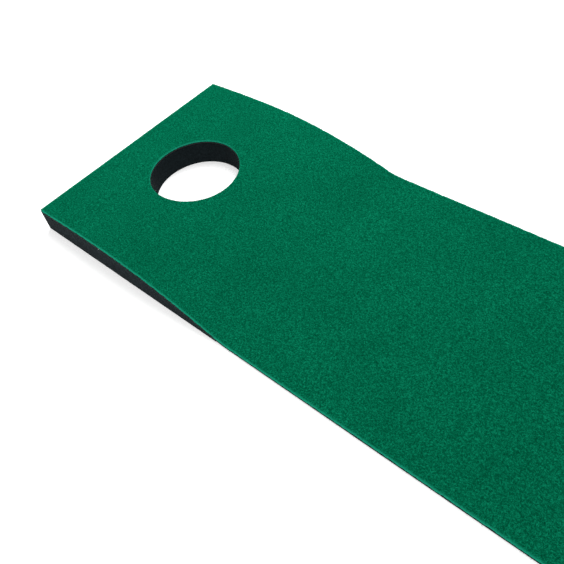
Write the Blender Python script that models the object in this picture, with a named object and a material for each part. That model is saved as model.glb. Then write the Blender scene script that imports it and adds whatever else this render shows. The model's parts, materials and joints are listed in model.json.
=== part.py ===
"""Practice putting mat: a strip of turf on a thin backing, raised at one end on a foam wedge with a cup hole.

Frame: the origin is on the floor at the centre of the mat's footprint. +X runs along the mat from the
wedge end to the free end, +Y across it, +Z up. Lengths are in metres and angles in radians.
The wedge end is one flat piece. The strip past it is a row of hinged segments, whose hinge lines lie on
the turf's top face, so that the strip curls up and over, turf side in, into a roll for storage.
"""

import math

import bmesh
import bpy
from mathutils import Vector

# Strip
MAT_LENGTH = 2.438
MAT_WIDTH = 0.280
TURF_THICKNESS = 0.0025
BACKING_THICKNESS = 0.0010
GAP = 0.0003

# Foam wedge under the strip's raised end
WEDGE_LENGTH = 0.280
WEDGE_END_HEIGHT = 0.0240
WEDGE_CREST_RISE = 0.0035
WEDGE_CREST_PLACE = 0.105
WEDGE_TOE_THICKNESS = 0.0010

# Cup hole through turf, backing and foam
HOLE_DIAMETER = 0.104
HOLE_FROM_END = 0.109
HOLE_OFFSET = 0.004
HOLE_SIDES = 64

# Double-sided tape between foam and backing: two long strips and one across the end
TAPE_WIDTH = 0.025
TAPE_THICKNESS = 0.0003
TAPE_INSET = 0.010
TAPE_TOE_INSET = 0.020

# Storage roll
SEGMENTS = 22
HINGE_TURN = math.radians(45)
ROLL_PITCH = 0.0130
ROLL_CLEARANCE = 0.135

# Smoothness of the ramp
END_STATIONS = 8
RAMP_STATIONS = 18
RUN_OUT_STATIONS = 5

# Worked out from the sizes above
WEDGE_CREST_HEIGHT = WEDGE_END_HEIGHT + WEDGE_CREST_RISE
BOTTOM_TO_BACKING = GAP + TAPE_THICKNESS + GAP
STRIP_THICKNESS = BACKING_THICKNESS + GAP + TURF_THICKNESS
HEAD_LENGTH = WEDGE_LENGTH + ROLL_CLEARANCE
LEFT_END = -MAT_LENGTH / 2
HOLE_CENTRE = Vector((LEFT_END + HOLE_FROM_END, HOLE_OFFSET, 0.0))

MATERIALS = {
    "turf": {"color": (0.0, 0.16, 0.08, 1.0), "roughness": 0.95},
    "backing": {"color": (0.02, 0.02, 0.022, 1.0), "roughness": 0.85},
    "foam": {"color": (0.022, 0.023, 0.028, 1.0), "roughness": 0.9},
    "tape": {"color": (0.75, 0.73, 0.66, 1.0), "roughness": 0.6},
}


def clear_scene():
    for obj in list(bpy.data.objects):
        bpy.data.objects.remove(obj, do_unlink=True)


def new_collection(name):
    collection = bpy.data.collections.new(name)
    bpy.context.scene.collection.children.link(collection)
    return collection


def new_material(name, look):
    material = bpy.data.materials.new(name)
    material.use_nodes = True
    shader = material.node_tree.nodes["Principled BSDF"]
    shader.inputs["Base Color"].default_value = look["color"]
    shader.inputs["Roughness"].default_value = look["roughness"]
    shader.inputs["Metallic"].default_value = 0.0
    material.diffuse_color = look["color"]
    return material


def arc_drop(run, rise, distance):
    """How far an arc that starts level has dropped after `distance`, if it drops `rise` over `run`."""
    radius = (run * run + rise * rise) / (2 * rise)
    return radius - math.sqrt(radius * radius - distance * distance)


def foam_top(x):
    """Height of the foam at x from the wedge end: two arcs that meet, level, at the crest."""
    if x < WEDGE_CREST_PLACE:
        rise = WEDGE_CREST_HEIGHT - WEDGE_END_HEIGHT
        return WEDGE_CREST_HEIGHT - arc_drop(WEDGE_CREST_PLACE, rise, WEDGE_CREST_PLACE - x)
    ramp = WEDGE_LENGTH - WEDGE_CREST_PLACE
    rise = WEDGE_CREST_HEIGHT - WEDGE_TOE_THICKNESS
    return WEDGE_CREST_HEIGHT - arc_drop(ramp, rise, x - WEDGE_CREST_PLACE)


def toe_slope():
    """How steeply the ramp comes down at the wedge's toe."""
    ramp = WEDGE_LENGTH - WEDGE_CREST_PLACE
    rise = WEDGE_CREST_HEIGHT - WEDGE_TOE_THICKNESS
    radius = (ramp * ramp + rise * rise) / (2 * rise)
    return ramp / math.sqrt(radius * radius - ramp * ramp)


def run_out_length():
    """Length past the toe over which the strip levels out on to the floor."""
    return 2 * (WEDGE_TOE_THICKNESS + BOTTOM_TO_BACKING) / toe_slope()


def strip_bottom(x):
    """Height of the strip's underside at x: over the wedge, down a parabola past its toe, then on the floor."""
    if x <= WEDGE_LENGTH:
        return foam_top(x) + BOTTOM_TO_BACKING
    left = 1 - (x - WEDGE_LENGTH) / run_out_length()
    return (WEDGE_TOE_THICKNESS + BOTTOM_TO_BACKING) * max(left, 0.0) ** 2


def spread(start, end, count):
    return [start + (end - start) * step / count for step in range(count)]


def wedge_stations():
    up = spread(0.0, WEDGE_CREST_PLACE, END_STATIONS)
    down = spread(WEDGE_CREST_PLACE, WEDGE_LENGTH, RAMP_STATIONS)
    return up + down + [WEDGE_LENGTH]


def head_stations():
    level = WEDGE_LENGTH + run_out_length()
    run_out = spread(WEDGE_LENGTH, level, RUN_OUT_STATIONS)
    return wedge_stations()[:-1] + run_out + [level, HEAD_LENGTH - GAP / 2]


def stations_between(start, end):
    """The wedge's stations between two places along it, with the two places themselves."""
    return [start] + [x for x in wedge_stations() if start < x < end] + [end]


def outline(stations, lower, upper):
    """Closed side outline between two height rules over the same stations."""
    along_bottom = [(x, lower(x)) for x in stations]
    along_top = [(x, upper(x)) for x in reversed(stations)]
    return along_bottom + along_top


def extruded(name, points, width, middle, collection):
    """A side outline, given from the wedge end, made solid across `width` about y = `middle`."""
    curve = bpy.data.curves.new(name, "CURVE")
    curve.dimensions = "2D"
    curve.fill_mode = "BOTH"
    curve.extrude = width / 2
    spline = curve.splines.new("POLY")
    spline.points.add(len(points) - 1)
    for point, (x, z) in zip(spline.points, points):
        point.co = (x, z, 0.0, 1.0)
    spline.use_cyclic_u = True
    shape = bpy.data.objects.new(name, curve)
    shape.location = (LEFT_END, middle, 0.0)
    shape.rotation_euler = (math.radians(90), 0.0, 0.0)
    collection.objects.link(shape)
    return as_mesh(shape, collection)


def as_mesh(shape, collection):
    """The same solid as a welded mesh object, in the curve's place."""
    name = shape.name
    bpy.context.view_layer.update()
    evaluated = shape.evaluated_get(bpy.context.evaluated_depsgraph_get())
    mesh = bpy.data.meshes.new_from_object(evaluated)
    matrix = shape.matrix_world.copy()
    bpy.data.objects.remove(shape, do_unlink=True)
    solid = bmesh.new()
    solid.from_mesh(mesh)
    bmesh.ops.remove_doubles(solid, verts=solid.verts, dist=1e-6)
    bmesh.ops.recalc_face_normals(solid, faces=solid.faces)
    solid.to_mesh(mesh)
    solid.free()
    obj = bpy.data.objects.new(name, mesh)
    obj.matrix_world = matrix
    collection.objects.link(obj)
    return obj


def hole_cutter(collection):
    """A cylinder through everything at the cup hole, kept out of the model."""
    depth = 4 * WEDGE_CREST_HEIGHT
    bpy.ops.mesh.primitive_cylinder_add(
        vertices=HOLE_SIDES, radius=HOLE_DIAMETER / 2, depth=depth, location=HOLE_CENTRE
    )
    cutter = bpy.context.object
    cutter.name = "cup_hole_cutter"
    cutter.hide_render = True
    cutter.display_type = "WIRE"
    for collected in list(cutter.users_collection):
        collected.objects.unlink(cutter)
    collection.objects.link(cutter)
    return cutter


def cut_hole(obj, cutter):
    cut = obj.modifiers.new("cup_hole", "BOOLEAN")
    cut.operation = "DIFFERENCE"
    cut.solver = "EXACT"
    cut.object = cutter


def plate(name, start, end, bottom, thickness, pivot, collection):
    """A flat piece of the strip between two places along it, held by the pivot of its segment."""
    bpy.ops.mesh.primitive_cube_add(size=1.0)
    obj = bpy.context.object
    obj.name = name
    size = Vector((end - start, MAT_WIDTH, thickness))
    centre = Vector((LEFT_END + (start + end) / 2, 0.0, bottom + thickness / 2))
    for vertex in obj.data.vertices:
        vertex.co = Vector(vertex.co) * size
    for collected in list(obj.users_collection):
        collected.objects.unlink(obj)
    collection.objects.link(obj)
    obj.parent = pivot
    obj.location = centre - pivot.matrix_world.translation
    return obj


def segment_lengths():
    """Lengths of the segments, from the wedge to the free end. When every hinge has made its turn, each
    one lies on a spiral that comes in by the roll's pitch in a full turn, so inner segments are shorter."""
    reach = 2 * math.tan(HINGE_TURN / 2)
    step_in = ROLL_PITCH * HINGE_TURN / (2 * math.pi)
    total = (MAT_LENGTH - HEAD_LENGTH) / reach
    outer = (total + step_in * SEGMENTS * (SEGMENTS + 1) / 2) / SEGMENTS
    return [reach * (outer - step_in * (place + 1)) for place in range(SEGMENTS)]


def hinge_pivot(name, x, parent, collection):
    """An empty on a hinge line: along Y, on the turf's top face."""
    pivot = bpy.data.objects.new(name, None)
    pivot.empty_display_size = 0.02
    collection.objects.link(pivot)
    place = Vector((LEFT_END + x, 0.0, STRIP_THICKNESS))
    if parent is not None:
        pivot.parent = parent
        place -= parent.matrix_world.translation
    pivot.location = place
    bpy.context.view_layer.update()
    return pivot


def finish(obj, material):
    obj.data.materials.clear()
    obj.data.materials.append(material)


def make_wedge(parts, cutter, materials):
    underside = [(0.0, 0.0), (WEDGE_LENGTH, 0.0)]
    top = [(x, foam_top(x)) for x in reversed(wedge_stations())]
    points = underside + top
    wedge = extruded("foam_wedge", points, MAT_WIDTH, 0.0, parts)
    cut_hole(wedge, cutter)
    finish(wedge, materials["foam"])


def make_tapes(parts, materials):
    """Strips of tape along the wedge's two sides and across its end, clear of the hole and of each other."""
    def lower(x):
        return foam_top(x) + GAP

    def upper(x):
        return lower(x) + TAPE_THICKNESS

    across_from = TAPE_INSET
    across_to = across_from + TAPE_WIDTH
    long_from = across_to + TAPE_INSET
    long_stations = stations_between(long_from, WEDGE_LENGTH - TAPE_TOE_INSET)
    side = MAT_WIDTH / 2 - TAPE_INSET - TAPE_WIDTH / 2
    for name, middle in (("wedge_tape_front", -side), ("wedge_tape_back", side)):
        tape = extruded(name, outline(long_stations, lower, upper), TAPE_WIDTH, middle, parts)
        finish(tape, materials["tape"])
    across_points = outline(stations_between(across_from, across_to), lower, upper)
    across = extruded("wedge_tape_end", across_points, MAT_WIDTH - 2 * TAPE_INSET, 0.0, parts)
    finish(across, materials["tape"])


def make_head(parts, cutter, materials):
    """The end of the strip that lies over the wedge and a little way past its toe."""
    def backing_top(x):
        return strip_bottom(x) + BACKING_THICKNESS

    def turf_bottom(x):
        return backing_top(x) + GAP

    def turf_top(x):
        return turf_bottom(x) + TURF_THICKNESS

    stations = head_stations()
    backing = extruded("backing_head", outline(stations, strip_bottom, backing_top), MAT_WIDTH, 0.0, parts)
    turf = extruded("turf_head", outline(stations, turf_bottom, turf_top), MAT_WIDTH, 0.0, parts)
    for obj, material in ((backing, "backing"), (turf, "turf")):
        cut_hole(obj, cutter)
        finish(obj, materials[material])


def make_segments(parts, materials):
    """Turf and backing of each hinged segment, on a chain of pivots that starts at the wedge end."""
    pivot = None
    start = HEAD_LENGTH
    for number, length in enumerate(segment_lengths(), 1):
        end = start + length
        is_last = number == SEGMENTS
        pivot = hinge_pivot(f"hinge_{number:02d}", start, pivot, parts)
        first = start + GAP / 2
        last = end if is_last else end - GAP / 2
        backing = plate(f"backing_{number:02d}", first, last, 0.0, BACKING_THICKNESS, pivot, parts)
        finish(backing, materials["backing"])
        turf_base = BACKING_THICKNESS + GAP
        turf = plate(f"turf_{number:02d}", first, last, turf_base, TURF_THICKNESS, pivot, parts)
        finish(turf, materials["turf"])
        start = end


def main():
    clear_scene()
    parts = new_collection("practice_putting_mat")
    cutters = new_collection("cutters")
    materials = {name: new_material(name, look) for name, look in MATERIALS.items()}
    cutter = hole_cutter(cutters)
    make_wedge(parts, cutter, materials)
    make_tapes(parts, materials)
    make_head(parts, cutter, materials)
    make_segments(parts, materials)
    bpy.context.view_layer.update()


main()
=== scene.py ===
import json
import math
from bisect import bisect_right

import bmesh
import bpy
from mathutils import Matrix, Vector, noise

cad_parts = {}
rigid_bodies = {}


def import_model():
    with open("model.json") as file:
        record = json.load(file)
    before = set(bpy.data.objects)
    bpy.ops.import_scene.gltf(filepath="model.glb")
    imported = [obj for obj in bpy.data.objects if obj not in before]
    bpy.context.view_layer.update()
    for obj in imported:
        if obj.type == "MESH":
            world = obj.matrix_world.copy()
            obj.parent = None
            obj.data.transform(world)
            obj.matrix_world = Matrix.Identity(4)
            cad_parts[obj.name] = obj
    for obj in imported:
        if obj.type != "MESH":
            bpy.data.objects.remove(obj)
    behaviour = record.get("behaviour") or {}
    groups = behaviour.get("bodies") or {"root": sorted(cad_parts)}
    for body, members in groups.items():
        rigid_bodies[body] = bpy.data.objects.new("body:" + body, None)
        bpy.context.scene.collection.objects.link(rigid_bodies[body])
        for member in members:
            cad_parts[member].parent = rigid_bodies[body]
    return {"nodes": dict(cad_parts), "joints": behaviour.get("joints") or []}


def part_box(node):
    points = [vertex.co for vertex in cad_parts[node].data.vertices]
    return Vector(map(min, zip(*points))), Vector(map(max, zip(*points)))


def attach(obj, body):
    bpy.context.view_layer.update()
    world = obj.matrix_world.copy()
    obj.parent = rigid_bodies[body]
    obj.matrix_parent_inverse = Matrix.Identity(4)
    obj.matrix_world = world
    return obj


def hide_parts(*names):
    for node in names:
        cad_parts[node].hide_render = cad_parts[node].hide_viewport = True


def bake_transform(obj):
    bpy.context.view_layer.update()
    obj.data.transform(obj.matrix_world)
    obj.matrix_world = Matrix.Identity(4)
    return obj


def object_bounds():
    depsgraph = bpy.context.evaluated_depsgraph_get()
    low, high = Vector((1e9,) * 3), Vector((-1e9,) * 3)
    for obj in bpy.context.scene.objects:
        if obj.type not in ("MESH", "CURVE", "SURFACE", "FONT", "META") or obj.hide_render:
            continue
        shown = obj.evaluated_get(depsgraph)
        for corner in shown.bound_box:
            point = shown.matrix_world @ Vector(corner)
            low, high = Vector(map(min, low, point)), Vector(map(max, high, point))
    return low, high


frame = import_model()
cadBox = [list(corner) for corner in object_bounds()]
print("stage 1: frame loaded")

# places read from the frame
nodes = frame["nodes"]
joints = sorted(frame["joints"], key=lambda joint: joint["name"])
headLow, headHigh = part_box("turf_head")
foamLow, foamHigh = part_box("foam_wedge")
leftEnd, rightEnd = cadBox[0][0], cadBox[1][0]
halfWidth = cadBox[1][1]
bodyNames = [joints[0]["parent"]] + [joint["child"] for joint in joints]
hinges = [joint["pos_m"][0] for joint in joints]
hingeEnds = hinges[1:] + [rightEnd]
middles = [(first + last) / 2 for first, last in zip(hinges, hingeEnds)]
headEnd = 2 * hinges[0] - middles[0]

touching = 1e-5  # points nearer than this are at the same place
nearby = 1e-4  # a wider limit, for points on a round edge that is made of straight ones


class Wire:
    # one output of a node, so that sums on values are written as Python sums
    def __init__(self, board, socket):
        self.board = board
        self.socket = socket

    def maths(self, operation, *values):
        return self.board.node("ShaderNodeMath", {"operation": operation}, values)

    def __add__(self, other):
        return self.maths("ADD", self, other)

    def __radd__(self, other):
        return self.maths("ADD", other, self)

    def __sub__(self, other):
        return self.maths("SUBTRACT", self, other)

    def __rsub__(self, other):
        return self.maths("SUBTRACT", other, self)

    def __mul__(self, other):
        return self.maths("MULTIPLY", self, other)

    def __rmul__(self, other):
        return self.maths("MULTIPLY", other, self)

    def within(self, low, high):
        # 0 below low, 1 above high
        return self.board.node("ShaderNodeMapRange", {"clamp": True}, {0: self, 1: low, 2: high})


class Board:
    # a node tree that nodes are added to
    def __init__(self, tree):
        self.tree = tree

    def node(self, kind, settings=None, values=None, output=0):
        made = self.tree.nodes.new(kind)
        for setting, value in (settings or {}).items():
            if setting == "stops":
                self.setStops(made.color_ramp, value)
            else:
                setattr(made, setting, value)
        pairs = values.items() if isinstance(values, dict) else enumerate(values or ())
        for key, value in pairs:
            if isinstance(value, Wire):
                self.tree.links.new(value.socket, made.inputs[key])
            else:
                made.inputs[key].default_value = value
        return Wire(self, made.outputs[output]) if made.outputs else None

    def setStops(self, ramp, stops):
        while len(ramp.elements) < len(stops):
            ramp.elements.new(1.0)
        for element, (place, colour) in zip(ramp.elements, stops):
            element.position = place
            element.color = colour

    def mix(self, share, first, second):
        return self.node("ShaderNodeMix", {"data_type": "RGBA"}, {0: share, 6: first, 7: second}, 2)

    def stretched(self, place, scale):
        return self.node("ShaderNodeVectorMath", {"operation": "MULTIPLY"}, (place, scale))

    def grain(self, place, scale, detail=2.0, roughness=0.5):
        values = {"Vector": place, "Scale": scale, "Detail": detail, "Roughness": roughness}
        return self.node("ShaderNodeTexNoise", {}, values)

    def attribute(self, name, output):
        return self.node("ShaderNodeAttribute", {"attribute_name": name}, output=output)

    def bump(self, look, height):
        values = {"Strength": look["bumpStrength"], "Distance": look["bumpDepth"], "Height": height}
        return self.node("ShaderNodeBump", {}, values)


def newMaterial(name):
    material = bpy.data.materials.new(name)
    material.use_nodes = True
    material.node_tree.nodes.clear()
    return material, Board(material.node_tree)


def finishMaterial(board, values):
    shader = board.node("ShaderNodeBsdfPrincipled", {}, values)
    board.node("ShaderNodeOutputMaterial", {}, {"Surface": shader})


def finishSurface(board, look, colour, height=None):
    values = {"Base Color": colour, "Roughness": look["roughness"], "Specular IOR Level": look["specular"]}
    if height is not None:
        values["Normal"] = board.bump(look, height)
    finishMaterial(board, values)


turfLook = {
    "shade": (0.0, 0.044, 0.0205, 1),
    "green": (0.0004, 0.098, 0.0465, 1),
    "tip": (0.0035, 0.190, 0.097, 1),
    "cutEdge": (0.0120, 0.300, 0.185, 1),
    "loose": (0.55, 0.62, 0.58, 1),
    "latex": (0.0040, 0.0140, 0.0110, 1),
    "patchScale": 13.0,
    "patchRange": (0.35, 0.75),
    "patchShare": 0.22,
    "tuftScale": 620.0,
    "tuftShare": 0.45,
    "clumpScale": 430.0,
    "strokeScale": 2300.0,
    "strokeStretch": (1.0, 0.2, 1.0),
    "strokeShare": 0.55,
    "greenRange": (0.36, 0.54),
    "tipRange": (0.50, 0.66),
    "rimRange": (0.1, 0.9),
    "rimShare": 0.5,
    "cutRange": (0.01, 0.08),
    "latexRange": (0.58, 0.70),
    "latexWander": 0.5,
    "fibreStops": (0.0, 0.45, 0.90, 0.985, 0.992),
    "bumpDepth": 0.0008,
    "bumpStrength": 0.75,
    "roughness": 0.95,
    "specular": 0.0,
}

foamLook = {
    "dark": (0.0035, 0.0060, 0.0070, 1),
    "mid": (0.0100, 0.0160, 0.0185, 1),
    "light": (0.0230, 0.0320, 0.0370, 1),
    "cellScale": 900.0,
    "cellRange": (0.45, 0.85),
    "cellShare": 0.6,
    "cellDepth": 0.6,
    "mottleScale": 260.0,
    "mottleRange": (0.35, 0.65),
    "mottleDepth": 0.4,
    "streakScale": (60.0, 60.0, 700.0),
    "streakRange": (0.5, 0.8),
    "streakShare": 0.25,
    "cupFade": (0.001, 0.004),
    "cupShade": 0.55,
    "bumpDepth": 0.0004,
    "bumpStrength": 0.6,
    "roughness": 0.9,
    "specular": 0.05,
}

backingLook = {
    "dark": (0.0070, 0.0082, 0.0090, 1),
    "light": (0.0200, 0.0222, 0.0240, 1),
    "speck": (0.0600, 0.0640, 0.0660, 1),
    "scrimPitch": 0.0032,
    "scrimDepth": 0.25,
    "crustScale": 480.0,
    "crustRange": (0.35, 0.70),
    "cloudScale": 16.0,
    "cloudRange": (0.4, 0.7),
    "cloudShare": 0.3,
    "speckRange": (0.66, 0.74),
    "speckShare": 0.4,
    "bumpDepth": 0.0003,
    "bumpStrength": 0.5,
    "roughness": 0.8,
    "specular": 0.3,
}

tapeLook = {
    "paper": (0.60, 0.57, 0.48, 1),
    "fibre": (0.42, 0.39, 0.31, 1),
    "pulpScale": (300.0, 1400.0, 1.0),
    "pulpRange": (0.3, 0.7),
    "bumpDepth": 0.0001,
    "bumpStrength": 0.3,
    "roughness": 0.55,
    "specular": 0.4,
}


def makeTurfMaterial(look):
    material, board = newMaterial("turf_pile")
    place = board.attribute("restPlace", "Vector")
    depth = board.attribute("depth", "Fac")
    patch = board.grain(place, look["patchScale"], 3.0, 0.6)
    tuft = board.grain(place, look["tuftScale"], 2.0, 0.6)
    # short strokes of pile that lie one way in each clump
    values = {"Vector": place, "Scale": look["clumpScale"]}
    clump = board.node("ShaderNodeTexVoronoi", {}, values, "Color")
    turn = board.node("ShaderNodeSeparateColor", {}, (clump,)) * (2 * math.pi)
    values = {"Vector": place, "Angle": turn}
    turned = board.node("ShaderNodeVectorRotate", {"rotation_type": "Z_AXIS"}, values)
    stroke = board.grain(board.stretched(turned, look["strokeStretch"]), look["strokeScale"], 1.0)
    nap = tuft * look["tuftShare"] + stroke * look["strokeShare"]
    colour = board.mix(nap.within(*look["greenRange"]), look["shade"], look["green"])
    colour = board.mix(nap.within(*look["tipRange"]), colour, look["tip"])
    colour = board.mix(patch.within(*look["patchRange"]) * look["patchShare"], colour, look["shade"])
    # the cut sides: a painted highlight of pale cut pile along the top of each cut and on the top face
    # beside it, and below it the latex-soaked base, darker still with painted shade
    rim = board.attribute("rim", "Fac")
    cut = board.attribute("cut", "Fac")
    soakedAndShaded = depth + (tuft - 0.5) * look["latexWander"]
    # painted highlight: the top face is paler near each cut edge and round the cup rim
    colour = board.mix(rim.within(*look["rimRange"]) * look["rimShare"], colour, look["cutEdge"])
    # painted highlight: a pale band along the top of each cut side
    colour = board.mix(cut * depth.within(*look["cutRange"]), colour, look["cutEdge"])
    # the dark base of each cut side: real latex-soaked backing, darkened further as painted shade
    colour = board.mix(cut * soakedAndShaded.within(*look["latexRange"]), colour, look["latex"])
    finishSurface(board, look, colour, nap)
    return material


def makeFibreMaterial(look):
    material, board = newMaterial("turf_fibre")
    tone = board.attribute("tone", "Fac")
    # only fibres on the cut sides reach the cut edge's painted highlight colour and the loose pale tone
    colours = [look[name] for name in ("shade", "green", "tip", "cutEdge", "loose")]
    stops = list(zip(look["fibreStops"], colours))
    colour = board.node("ShaderNodeValToRGB", {"stops": stops}, (tone,))
    finishSurface(board, look, colour)
    return material


def makeFoamMaterial(look, cupCentre, cupRadius):
    material, board = newMaterial("foam_cells")
    place = board.node("ShaderNodeTexCoord", output="Object")
    flat = board.stretched(place, (1.0, 1.0, 0.0))
    centre = (cupCentre.x, cupCentre.y, 0.0)
    away = board.node("ShaderNodeVectorMath", {"operation": "DISTANCE"}, (flat, centre), "Value")
    # painted shade: a mask for the foam round the cup hole, whose walls are darkened below to stand in for
    # the shade inside the hole
    inCup = 1 - away.within(*(cupRadius + margin for margin in look["cupFade"]))
    cells = board.node("ShaderNodeTexVoronoi", {}, {"Vector": place, "Scale": look["cellScale"]})
    mottle = board.grain(place, look["mottleScale"], 3.0, 0.65)
    streak = board.grain(board.stretched(place, look["streakScale"]), 1.0, 2.0)
    height = cells * look["cellDepth"] + mottle * look["mottleDepth"]
    colour = board.mix(mottle.within(*look["mottleRange"]), look["dark"], look["mid"])
    colour = board.mix(cells.within(*look["cellRange"]) * look["cellShare"], colour, look["light"])
    colour = board.mix(streak.within(*look["streakRange"]) * look["streakShare"], colour, look["light"])
    # painted shade: the cup hole's foam walls darkened towards the dark tone
    colour = board.mix(inCup * look["cupShade"], colour, look["dark"])
    finishSurface(board, look, colour, height)
    return material


def makeBackingMaterial(look):
    material, board = newMaterial("latex_backing")
    place = board.attribute("restPlace", "Vector")
    turns = 2 * math.pi / look["scrimPitch"]
    parts = board.node("ShaderNodeSeparateXYZ", {}, (board.stretched(place, (turns, turns, turns)),))
    along = parts.maths("SINE", parts)
    across = parts.maths("SINE", Wire(board, parts.socket.node.outputs["Y"]))
    crust = board.grain(place, look["crustScale"], 3.0, 0.6)
    cloud = board.grain(place, look["cloudScale"], 2.0)
    height = along * across * look["scrimDepth"] + crust
    colour = board.mix(crust.within(*look["crustRange"]), look["dark"], look["light"])
    colour = board.mix(cloud.within(*look["cloudRange"]) * look["cloudShare"], colour, look["light"])
    colour = board.mix(crust.within(*look["speckRange"]) * look["speckShare"], colour, look["speck"])
    finishSurface(board, look, colour, height)
    return material


def makeTapeMaterial(look):
    material, board = newMaterial("tape_paper")
    place = board.node("ShaderNodeTexCoord", output="Object")
    pulp = board.grain(board.stretched(place, look["pulpScale"]), 1.0, 3.0)
    colour = board.mix(pulp.within(*look["pulpRange"]), look["paper"], look["fibre"])
    finishSurface(board, look, colour, pulp)
    return material


def findCup():
    # the cup hole's centre and radius, from the turf node's own points round it
    places = [vertex.co for vertex in nodes["turf_head"].data.vertices]
    inner = [place for place in places if halfWidth - abs(place.y) > nearby]
    lows = [min(place[axis] for place in inner) for axis in range(2)]
    highs = [max(place[axis] for place in inner) for axis in range(2)]
    centre = Vector(((lows[0] + highs[0]) / 2, (lows[1] + highs[1]) / 2, foamHigh.z / 2))
    return centre, (highs[0] - lows[0]) / 2


cupCentre, cupRadius = findCup()
turfMaterial = makeTurfMaterial(turfLook)
fibreMaterial = makeFibreMaterial(turfLook)
foamMaterial = makeFoamMaterial(foamLook, cupCentre, cupRadius)
backingMaterial = makeBackingMaterial(backingLook)
tapeMaterial = makeTapeMaterial(tapeLook)
print("stage 2: materials made")

# half of the stretch that a height is averaged over, which rounds the CAD's short straights, and the steps
# to each side
ease = {"reach": 0.007, "steps": 4}


def edgeHeights(node, pick):
    # heights of a node's outline along its front edge, by place along the mat
    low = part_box(node)[0]
    found = {}
    for vertex in nodes[node].data.vertices:
        if abs(vertex.co.y - low.y) < touching:
            found.setdefault(round(vertex.co.x, 5), []).append(vertex.co.z)
    places = sorted(found)
    return places, [pick(found[place]) for place in places]


def heightRule(node, pick):
    # a smooth height by place, from the node's own outline
    places, heights = edgeHeights(node, pick)
    steps = range(-ease["steps"], ease["steps"] + 1)
    known = {}

    def straight(x):
        x = min(max(x, places[0]), places[-1])
        upper = min(max(bisect_right(places, x), 1), len(places) - 1)
        start, end = places[upper - 1], places[upper]
        share = (x - start) / (end - start)
        return heights[upper - 1] * (1 - share) + heights[upper] * share

    def height(x):
        key = round(x, 6)
        if key not in known:
            near = [straight(x + ease["reach"] * step / ease["steps"]) for step in steps]
            known[key] = sum(near) / len(near)
        return known[key]

    return height


turfTop = heightRule("turf_head", max)
backingBottom = heightRule("backing_head", min)
backingTop = heightRule("backing_head", max)
foamTop = heightRule("foam_wedge", max)
turfBottom = backingTop

# the turf's top ends where this share of its depth begins; a layer picks one slice of the noise
napShape = {
    "topDepth": 0.01,
    "tuftHeight": 0.00022,
    "tuftScale": 430.0,
    "tuftLayer": 0.3,
    "lumpHeight": 0.00018,
    "lumpScale": 90.0,
    "lumpLayer": 1.7,
    "cutWander": 0.0008,
    "cutScale": 260.0,
    "cutLayer": 5.1,
    "cutReach": 0.0002,
    "rimWidth": 0.0022,
    "cupRim": 0.5,
}


def napHeight(x, y):
    shape = napShape
    tuft = noise.noise(Vector((x, y, shape["tuftLayer"])) * shape["tuftScale"])
    lump = noise.noise(Vector((x, y, shape["lumpLayer"])) * shape["lumpScale"])
    return tuft * shape["tuftHeight"] + lump * shape["lumpHeight"]


def cutWander(x, y):
    # how far the knife wandered along a cut edge
    shape = napShape
    return noise.noise(Vector((x, y, shape["cutLayer"])) * shape["cutScale"]) * shape["cutWander"]


def makeSlab(start, end, cells):
    # a closed flat slab between two places along the mat: top at z 0, underside at z -1
    made = bmesh.new()
    bmesh.ops.create_grid(made, x_segments=cells[0], y_segments=cells[1], size=1)
    bmesh.ops.scale(made, vec=((end - start) / 2, halfWidth, 1), verts=made.verts)
    bmesh.ops.translate(made, vec=((start + end) / 2, 0, 0), verts=made.verts)
    sides = [
        edge for edge in made.edges
        if edge.is_boundary and all(abs(abs(v.co.y) - halfWidth) < touching for v in edge.verts)
    ]
    sunk = bmesh.ops.extrude_edge_only(made, edges=sides)["geom"]
    low = {item for item in sunk if isinstance(item, bmesh.types.BMVert)}
    bmesh.ops.translate(made, vec=(0, 0, -1), verts=list(low))
    rims = [item for item in sunk if isinstance(item, bmesh.types.BMEdge) and low.issuperset(item.verts)]
    bmesh.ops.bridge_loops(made, edges=rims)
    ends = [edge for edge in made.edges if edge.is_boundary]
    bmesh.ops.holes_fill(made, edges=ends, sides=0)
    bmesh.ops.recalc_face_normals(made, faces=made.faces)
    return made


def shapeBetween(made, top, bottom):
    for vertex in made.verts:
        vertex.co.z = top(vertex.co.x) if vertex.co.z > -0.5 else bottom(vertex.co.x)


def addTongue(made, end, top, bottom, inset):
    # a hidden tongue in the slab that reaches into the next span, so that no slit opens on a bend
    tongue = bmesh.ops.create_cube(made, size=1)["verts"]
    for vertex in tongue:
        x = end + (bendShape["reach"] if vertex.co.x > 0 else -bendShape["root"])
        z = top(x) - inset if vertex.co.z > 0 else bottom(x) + inset
        vertex.co = (x, vertex.co.y * 2 * (halfWidth - bendShape["sideInset"]), z)


def newPiece(name, made, material):
    mesh = bpy.data.meshes.new(name)
    made.to_mesh(mesh)
    made.free()
    mesh.materials.append(material)
    piece = bpy.data.objects.new(name, mesh)
    bpy.context.scene.collection.objects.link(piece)
    return piece


def applied(piece):
    # the piece with its modifiers applied
    bpy.context.view_layer.update()
    final = piece.evaluated_get(bpy.context.evaluated_depsgraph_get())
    mesh = bpy.data.meshes.new_from_object(final)
    old = piece.data
    piece.modifiers.clear()
    piece.data = mesh
    mesh.name = old.name
    bpy.data.meshes.remove(old)
    return piece


cutterShape = {"segments": 144, "height": 0.08, "cuts": 26}


def makeCutter():
    made = bmesh.new()
    height = cutterShape["height"]
    bmesh.ops.create_cone(
        made, cap_ends=True, segments=cutterShape["segments"], radius1=cupRadius, radius2=cupRadius,
        depth=height, matrix=Matrix.Translation(cupCentre),
    )
    upright = [edge for edge in made.edges if abs(edge.verts[0].co.z - edge.verts[1].co.z) > height / 2]
    bmesh.ops.subdivide_edges(made, edges=upright, cuts=cutterShape["cuts"])
    return newPiece("cup_cutter", made, foamMaterial)


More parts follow.
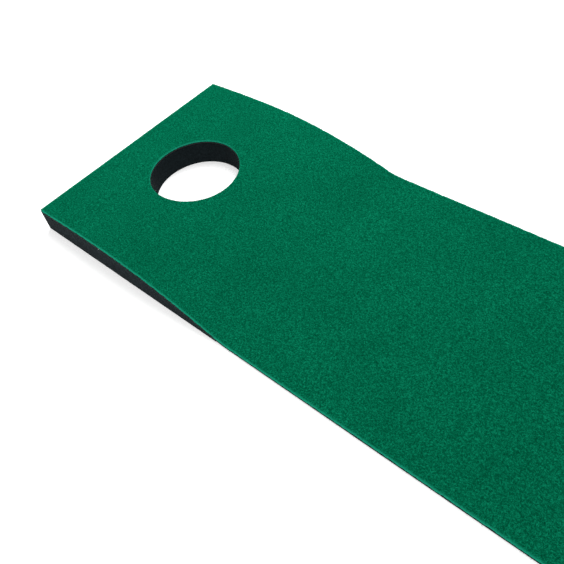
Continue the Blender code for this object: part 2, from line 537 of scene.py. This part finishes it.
def cutCup(piece, cutter):
    hole = piece.modifiers.new("cup hole", "BOOLEAN")
    hole.operation = "DIFFERENCE"
    hole.solver = "EXACT"
    hole.object = cutter
    return applied(piece)


def outerDistance(place):
    # how far a place on the mat is from the nearest outer edge
    return min(halfWidth - abs(place.y), place.x - leftEnd, rightEnd - place.x)


def cupDistance(place):
    return abs((place - cupCentre).to_2d().length - cupRadius)


def markPlaces(piece, top, bottom):
    # for the materials: where each point is at rest, how deep below the top face, how near a cut edge (for
    # the painted highlight along it), and which faces a knife cut
    mesh = piece.data
    mesh.attributes.new("restPlace", "FLOAT_VECTOR", "POINT")
    mesh.attributes.new("depth", "FLOAT", "POINT")
    mesh.attributes.new("rim", "FLOAT", "POINT")
    mesh.attributes.new("cut", "FLOAT", "FACE")
    rest, deep, rim, cut = (mesh.attributes[name].data for name in ("restPlace", "depth", "rim", "cut"))
    for vertex, place, level, near in zip(mesh.vertices, rest, deep, rim):
        x, z = vertex.co.x, vertex.co.z
        place.vector = vertex.co
        share = (top(x) - z) / (top(x) - bottom(x))
        level.value = min(max(share, 0.0), 1.0)
        # painted highlight band: full at an outer cut edge, weaker at the cup rim, fading over a couple of
        # millimetres
        near.value = max(
            1.0 - outerDistance(vertex.co) / napShape["rimWidth"],
            napShape["cupRim"] - cupDistance(vertex.co) / napShape["rimWidth"],
            0.0,
        )
    for face, mark in zip(mesh.polygons, cut):
        gap = min(outerDistance(face.center), cupDistance(face.center))
        mark.value = float(abs(face.normal.z) < 0.5 and gap < napShape["cutReach"])


def roughen(piece, seams):
    # raises the nap on the top face and lets the cut sides wander; at a seam the height is the mean of
    # those a step to each side, so that the slope runs on into the next span
    mesh = piece.data
    step = turfShape["pitch"]
    for vertex, level in zip(mesh.vertices, mesh.attributes["depth"].data):
        x, y = vertex.co.xy
        atSeam = min(abs(x - seam) for seam in seams) < touching
        if level.value < napShape["topDepth"] and atSeam:
            vertex.co.z += (napHeight(x - step, y) + napHeight(x + step, y)) / 2
        elif level.value < napShape["topDepth"]:
            vertex.co.z += napHeight(x, y)
        if abs(abs(y) - halfWidth) < touching:
            vertex.co.y -= math.copysign(abs(cutWander(x, y)), y)


def smoothTop(piece):
    # smooth everywhere but at the cut edges
    piece.data.shade_smooth()
    piece.data.set_sharp_from_angle(angle=turfShape["sharpAngle"])


cutter = makeCutter()

turfShape = {
    "finePitch": 0.0016,
    "pitch": 0.0020,
    "rows": 150,
    "inset": 0.0004,
    "sharpAngle": math.radians(60),
}
backingShape = {"pitch": 0.004, "rows": 20, "inset": 0.00015}


def makeTurf(name, start, end, pitch, holed, bulged):
    made = makeSlab(start, end, (round((end - start) / pitch), turfShape["rows"]))
    shapeBetween(made, turfTop, turfBottom)
    if bulged:
        addTongue(made, end, turfTop, turfBottom, turfShape["inset"])
    piece = newPiece(name, made, turfMaterial)
    if holed:
        cutCup(piece, cutter)
    markPlaces(piece, turfTop, turfBottom)
    roughen(piece, [place for place in (start, end) if leftEnd < place < rightEnd])
    smoothTop(piece)
    return piece


def makeBacking(name, start, end, holed, bulged):
    made = makeSlab(start, end, (round((end - start) / backingShape["pitch"]), backingShape["rows"]))
    shapeBetween(made, backingTop, backingBottom)
    if bulged:
        addTongue(made, end, backingTop, backingBottom, backingShape["inset"])
    piece = newPiece(name, made, backingMaterial)
    if holed:
        cutCup(piece, cutter)
    markPlaces(piece, backingTop, backingBottom)
    return piece


# how much a segment's middle would turn back towards each neighbour, so that a rolled strip would be round
# and not eight-sided; no bend is made here, and the share only decides which spans get a tongue. The
# stretches that
# lie flat keep none: the wedge end, the free end, and the segment of each turn that rests on the flat
# stretch before the first hinge.
bendShape = {"share": 0.25, "perTurn": 8, "reach": 0.0040, "root": 0.0020, "sideInset": 0.0012}
bulges = [bendShape["share"] if place % bendShape["perTurn"] else 0.0 for place in range(len(hinges))]
bulges.append(0.0)

# spans along the mat: the raised end, one over each hinge, and the free end's last half segment
spans = [("end", leftEnd, headEnd, None)]
for number, hinge in enumerate(hinges):
    start = headEnd if number == 0 else middles[number - 1]
    spans.append((f"{number + 1:02d}", start, middles[number], number))
spans.append(("tail", middles[-1], rightEnd, None))

foamShape = {"cells": (90, 88, 6), "lift": 0.0002, "wallRipple": 0.00018, "rippleScale": 210.0}


def makeFoam():
    made = bmesh.new()
    bmesh.ops.create_cube(made, size=1)
    for axis, cuts in enumerate(foamShape["cells"]):
        lines = [
            edge for edge in made.edges
            if abs(edge.verts[0].co[axis] - edge.verts[1].co[axis]) > touching
        ]
        bmesh.ops.subdivide_edges(made, edges=lines, cuts=cuts, use_grid_fill=True)
    length = foamHigh.x - foamLow.x
    for vertex in made.verts:
        x = foamLow.x + (vertex.co.x + 0.5) * length
        top = foamTop(x) + foamShape["lift"]
        vertex.co = (x, vertex.co.y * 2 * halfWidth, (vertex.co.z + 0.5) * top)
    piece = newPiece("foam_ramp", made, foamMaterial)
    cutCup(piece, cutter)
    # the knife leaves the sides slightly rippled
    for vertex in piece.data.vertices:
        x, y, z = vertex.co
        ripple = noise.noise(Vector((x, y, z)) * foamShape["rippleScale"]) * foamShape["wallRipple"]
        if abs(abs(y) - halfWidth) < touching:
            vertex.co.y -= math.copysign(abs(ripple), y)
        elif abs(x - foamLow.x) < touching:
            vertex.co.x += abs(ripple)
        elif cupDistance(vertex.co) < nearby:
            vertex.co.xy += (vertex.co - cupCentre).to_2d().normalized() * abs(ripple)
    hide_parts("foam_wedge")
    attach(piece, "wedge_end")
    return piece


makeFoam()
for tape in ("wedge_tape_front", "wedge_tape_back", "wedge_tape_end"):
    mesh = nodes[tape].data
    mesh.materials.clear()
    mesh.materials.append(tapeMaterial)
print("stage 3: foam and tapes made")


fibreShape = {
    "length": 0.0021,
    "halfWidth": 0.00011,
    "joints": 3,
    "taper": 0.65,
    "curl": 0.35,
    "sizes": (0.5, 1.15),
    "topDensity": 60000.0,
    "topFade": 10,
    "topPalest": 0.9,
    "sideDensity": 520000.0,
    "sideFade": 1.9,
    "sidePalest": 1.0,
    "lean": math.radians(76),
    "sideLean": math.radians(50),
    "sink": 0.0002,
}


def makeFibre():
    # one curved blade that narrows to its tip
    shape = fibreShape
    made = bmesh.new()
    bmesh.ops.create_grid(made, x_segments=1, y_segments=shape["joints"], size=0.5)
    for vertex in made.verts:
        share = vertex.co.y + 0.5
        width = shape["halfWidth"] * 2 * (1.0 - shape["taper"] * share)
        bend = shape["curl"] * share * share * shape["length"]
        vertex.co = (vertex.co.x * width, bend, share * shape["length"] - shape["sink"])
    return newPiece("one_fibre", made, fibreMaterial)


def chance(board, low, high, seed):
    return board.node("FunctionNodeRandomValue", {"data_type": "FLOAT"}, {2: low, 3: high, 8: seed}, 1)


def turnedBy(board, rotation, axis, angle):
    # a rotation turned further about one of its own axes
    angles = board.node("ShaderNodeCombineXYZ", {}, {axis: angle})
    turn = board.node("FunctionNodeEulerToRotation", {}, (angles,))
    return board.node("FunctionNodeRotateRotation", {"rotation_space": "LOCAL"}, (rotation, turn))


def scatterBlades(board, points, blade, place, lean, palest):
    # a blade on each point, leaning, turned and scaled by chance, with a tone of its own
    spin = chance(board, 0.0, 6.283, place + 11)
    tilt = chance(board, lean * 0.5, lean, place + 21)
    size = chance(board, *fibreShape["sizes"], place + 31)
    tone = chance(board, 0.0, palest, place + 41)
    rotation = Wire(board, points.socket.node.outputs["Rotation"])
    rotation = turnedBy(board, rotation, 2, spin)
    rotation = turnedBy(board, rotation, 0, tilt)
    values = {"Points": points, "Instance": blade, "Rotation": rotation, "Scale": size}
    blades = board.node("GeometryNodeInstanceOnPoints", {}, values)
    settings = {"data_type": "FLOAT", "domain": "INSTANCE"}
    values = {"Geometry": blades, "Name": "tone", "Value": tone}
    return board.node("GeometryNodeStoreNamedAttribute", settings, values)


def makeScatter(fibre):
    # points on the pile's top and cut sides, each with a blade
    shape = fibreShape
    tree = bpy.data.node_groups.new("pile_scatter", "GeometryNodeTree")
    tree.interface.new_socket("Geometry", in_out="INPUT", socket_type="NodeSocketGeometry")
    tree.interface.new_socket("Seed", in_out="INPUT", socket_type="NodeSocketInt")
    tree.interface.new_socket("Geometry", in_out="OUTPUT", socket_type="NodeSocketGeometry")
    board = Board(tree)
    surface = board.node("NodeGroupInput")
    seed = Wire(board, surface.socket.node.outputs["Seed"])
    blade = board.node("GeometryNodeObjectInfo", {}, {"Object": fibre}, "Geometry")
    normal = board.node("GeometryNodeInputNormal")
    up = Wire(board, board.node("ShaderNodeSeparateXYZ", {}, (normal,)).socket.node.outputs["Z"])
    depth = board.node("GeometryNodeInputNamedAttribute", {"data_type": "FLOAT"}, ("depth",))
    cut = board.node("GeometryNodeInputNamedAttribute", {"data_type": "FLOAT"}, ("cut",))
    isTop = board.node("FunctionNodeCompare", {"operation": "GREATER_THAN"}, (up, 0.6))
    isSide = board.node("FunctionNodeCompare", {"operation": "GREATER_THAN"}, (cut, 0.5))
    topDensity = (1 - depth * shape["topFade"]) * shape["topDensity"]
    sideDensity = (1 - depth * shape["sideFade"]) * shape["sideDensity"]
    joined = board.node("GeometryNodeJoinGeometry")
    for place, (chosen, density, lean, palest) in enumerate((
        (isTop, topDensity, shape["lean"], shape["topPalest"]),
        (isSide, sideDensity, shape["sideLean"], shape["sidePalest"]),
    )):
        values = {"Mesh": surface, "Selection": chosen, "Density": density, "Seed": seed}
        points = board.node("GeometryNodeDistributePointsOnFaces", {"distribute_method": "RANDOM"}, values)
        blades = scatterBlades(board, points, blade, place, lean, palest)
        tree.links.new(blades.socket, joined.socket.node.inputs[0])
    real = board.node("GeometryNodeRealizeInstances", {}, (joined,))
    board.node("NodeGroupOutput", {}, (real,))
    return tree


fibre = makeFibre()
scatter = makeScatter(fibre)


def makePile(name, turf, seed):
    # the loose tips of the pile over one stretch of turf
    pile = bpy.data.objects.new(name, turf.data.copy())
    bpy.context.scene.collection.objects.link(pile)
    growth = pile.modifiers.new("pile", "NODES")
    growth.node_group = scatter
    growth["Socket_1"] = seed
    applied(pile)
    pile.data.materials.clear()
    pile.data.materials.append(fibreMaterial)
    return pile


def easedPlace(share):
    # where along a smooth step from 0 to 1 it has the value share
    return 0.5 - math.sin(math.asin(1 - 2 * share) / 3)


def hold(piece, start, end, number):
    # an end span rides on one body; a span over a hinge is tied to no body and keeps its place at rest
    if number is None:
        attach(piece, bodyNames[0] if end < hinges[0] else bodyNames[-1])
        return
    first, last = easedPlace(bulges[number]), easedPlace(1 - bulges[number + 1])
    length = (end - start) / (last - first)
    bendStart = start - first * length
    bodyNames[number + 1]
    bendStart + length
    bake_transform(piece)


for place, (label, start, end, number) in enumerate(spans):
    holed = label == "end"
    nodeLabel = {"end": "head", "tail": f"{len(hinges):02d}"}.get(label, label)
    bulged = number is not None and bulges[number + 1] > 0
    pitch = turfShape["finePitch" if holed else "pitch"]
    turf = makeTurf(f"turf_span_{label}", start, end, pitch, holed, bulged)
    pile = makePile(f"pile_tips_{label}", turf, place)
    backing = makeBacking(f"backing_span_{label}", start, end, holed, bulged)
    for piece in (turf, pile, backing):
        hold(piece, start, end, number)
    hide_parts(f"turf_{nodeLabel}")
    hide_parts(f"backing_{nodeLabel}")
    size = (2 * halfWidth, end - start)
    area = size[0] * size[1] - (math.pi * cupRadius ** 2 if holed else 0)
for spare in (cutter, fibre):
    bpy.data.objects.remove(spare, do_unlink=True)
print("stage 4: turf, pile tips and backing made")


studio = {
    "floor": (0.80, 0.80, 0.80, 1),
    "floorGlow": 0.50,
    "floorSize": 120.0,
    "floorDrop": 0.0002,
    "worldStrength": 0.66,
    "keyPlace": (-1.30, 0.42, 0.85),
    "keyAim": (-1.12, 0.0, 0.0),
    "keySize": 0.8,
    "keyPower": 10.0,
    "fillPlace": (0.9, -0.6, 2.4),
    "fillAim": (0.2, 0.0, 0.0),
    "fillSize": 2.4,
    "fillPower": 26.0,
}

view = {
    "place": (-0.5699, -0.3377, 0.5223),
    "aim": (-0.9361, -0.0475, 0.0),
    "roll": -0.229,
    "lens": 44.48,
}


def makeFloor():
    made = bmesh.new()
    bmesh.ops.create_grid(made, x_segments=1, y_segments=1, size=studio["floorSize"] / 2)
    bmesh.ops.translate(made, vec=(0, 0, -studio["floorDrop"]), verts=made.verts)
    material, board = newMaterial("studio_floor")
    finishMaterial(board, {
        "Base Color": studio["floor"],
        "Roughness": 0.9,
        "Specular IOR Level": 0.1,
        "Emission Color": studio["floor"],
        "Emission Strength": studio["floorGlow"],
    })
    newPiece("studio_floor", made, material)


def makeLight(name, place, aim, size, power):
    lamp = bpy.data.lights.new(name, "AREA")
    lamp.shape = "DISK"
    lamp.size = size
    lamp.energy = power
    light = bpy.data.objects.new(name, lamp)
    light.location = place
    light.rotation_euler = (Vector(place) - Vector(aim)).to_track_quat("Z", "Y").to_euler()
    bpy.context.scene.collection.objects.link(light)


def makeWorld():
    world = bpy.data.worlds.new("studio")
    world.use_nodes = True
    world.node_tree.nodes.clear()
    board = Board(world.node_tree)
    values = {"Color": (1, 1, 1, 1), "Strength": studio["worldStrength"]}
    glow = board.node("ShaderNodeBackground", {}, values)
    board.node("ShaderNodeOutputWorld", {}, {"Surface": glow})
    bpy.context.scene.world = world


def makeCamera():
    camera = bpy.data.cameras.new("camera")
    camera.lens = view["lens"]
    camera.clip_start = 0.01
    eye = bpy.data.objects.new("camera", camera)
    toward = (Vector(view["aim"]) - Vector(view["place"])).to_track_quat("-Z", "Y")
    turn = toward.to_matrix().to_4x4() @ Matrix.Rotation(view["roll"], 4, "Z")
    eye.matrix_world = Matrix.Translation(view["place"]) @ turn
    bpy.context.scene.collection.objects.link(eye)
    bpy.context.scene.camera = eye


makeFloor()
makeWorld()
makeLight("key", studio["keyPlace"], studio["keyAim"], studio["keySize"], studio["keyPower"])
makeLight("fill", studio["fillPlace"], studio["fillAim"], studio["fillSize"], studio["fillPower"])
makeCamera()
bpy.context.scene.view_settings.view_transform = "Standard"
print("stage 5: floor, light and camera made")
